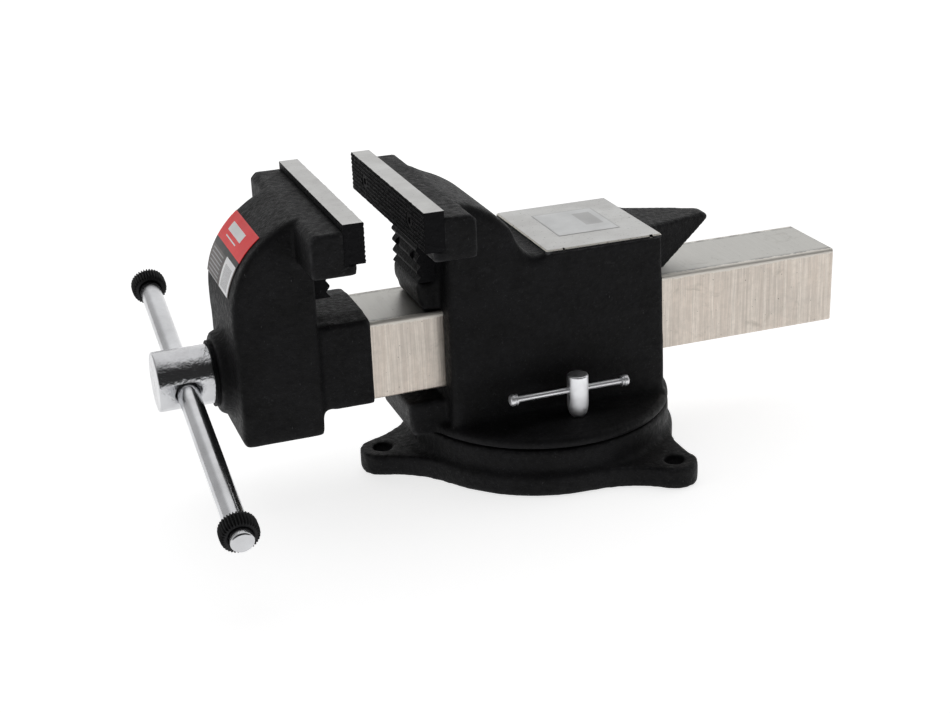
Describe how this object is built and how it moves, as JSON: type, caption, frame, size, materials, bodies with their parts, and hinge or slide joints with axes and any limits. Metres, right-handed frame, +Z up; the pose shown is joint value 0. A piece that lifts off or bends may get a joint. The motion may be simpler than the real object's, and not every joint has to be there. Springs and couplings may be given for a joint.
{
  "type": "bench vise",
  "caption": "Swivel-base bench vise with replaceable jaw plates, pipe jaws, anvil and horn; a lead screw with a sliding cross handle moves the front jaw on a hollow slide bar.",
  "frame": {"origin": "on the swivel axis, at the underside of the base, at the centre of the circle through the three mounting holes", "axes": "+X along the slide bar from the handle towards its tail, +Y towards the side away from the viewer facing the drawn lock bolt, +Z up along the swivel axis"},
  "size_m": [0.451, 0.2742, 0.19],
  "materials": {
    "black_casting": "sand-cast, painted satin black",
    "ground_steel": "ground and brushed",
    "plate_steel": "blackened with ground top",
    "chrome_steel": "polished zinc and chrome plate",
    "inner_steel": "machined and oiled",
    "nut_bronze": "machined bronze",
    "ring_rubber": "ribbed rubber",
    "label_print": "printed film, no lettering",
    "label_clear": "thin film, no lettering"
  },
  "bodies": {
    "base": {"swivel_base": "black_casting"},
    "fixed_jaw": {"static_body": "black_casting", "static_jaw_plate": "plate_steel", "static_plate_screws": "inner_steel", "static_pipe_jaw": "plate_steel", "static_pipe_screws": "inner_steel", "spindle_nut": "nut_bronze", "spindle_nut_screw": "inner_steel", "anvil_label": "label_clear", "lock_nuts": "inner_steel"},
    "moving_jaw": {"moving_body": "black_casting", "moving_jaw_plate": "plate_steel", "moving_plate_screws": "inner_steel", "moving_pipe_jaw": "plate_steel", "moving_pipe_screws": "inner_steel", "slide_bar": "ground_steel", "slide_bar_dowels": "inner_steel", "shoulder_label": "label_print"},
    "lead_screw": {"spindle": "chrome_steel", "thrust_washer": "inner_steel", "retaining_washer": "inner_steel", "retaining_pin": "inner_steel"},
    "handle": {"handle_bar": "chrome_steel", "handle_ring_far": "ring_rubber", "handle_ring_near": "ring_rubber"},
    "lock_bolt_near": {"lock_bolt_near": "chrome_steel"},
    "lock_bar_near": {"lock_bar_near": "chrome_steel", "lock_bar_caps_near": "chrome_steel"},
    "lock_bolt_far": {"lock_bolt_far": "chrome_steel"},
    "lock_bar_far": {"lock_bar_far": "chrome_steel", "lock_bar_caps_far": "chrome_steel"}
  },
  "joints": [
    {"name": "swivel", "type": "hinge", "parent": "base", "child": "fixed_jaw", "pos_m": [0, 0, 0], "axis": [0, 0, 1], "continuous": true},
    {"name": "jaw_slide", "type": "slide", "parent": "fixed_jaw", "child": "moving_jaw", "axis": [1, 0, 0], "range_m": [-0.116, 0.034]},
    {"name": "screw_turn", "type": "hinge", "parent": "moving_jaw", "child": "lead_screw", "pos_m": [-0.214, 0, 0.084], "axis": [1, 0, 0], "range_deg": [-7000, 2080]},
    {"name": "handle_slide", "type": "slide", "parent": "lead_screw", "child": "handle", "axis": [0, -0.9744, -0.225], "range_m": [-0.125, 0.085]},
    {"name": "lock_turn_near", "type": "hinge", "parent": "fixed_jaw", "child": "lock_bolt_near", "pos_m": [0.00356, -0.05989, 0.05], "axis": [0, 0, 1], "range_deg": [-10, 10]},
    {"name": "lock_bar_slide_near", "type": "slide", "parent": "lock_bolt_near", "child": "lock_bar_near", "axis": [1, 0, 0], "range_m": [-0.022, 0.033]},
    {"name": "lock_turn_far", "type": "hinge", "parent": "fixed_jaw", "child": "lock_bolt_far", "pos_m": [0.00356, 0.05989, 0.05], "axis": [0, 0, 1], "range_deg": [-10, 10]},
    {"name": "lock_bar_slide_far", "type": "slide", "parent": "lock_bolt_far", "child": "lock_bar_far", "axis": [1, 0, 0], "range_m": [-0.033, 0.022]}
  ],
  "couplings": [
    {"joint": "screw_turn", "follows": "jaw_slide", "rad_per_m": 1047.2}
  ]
}
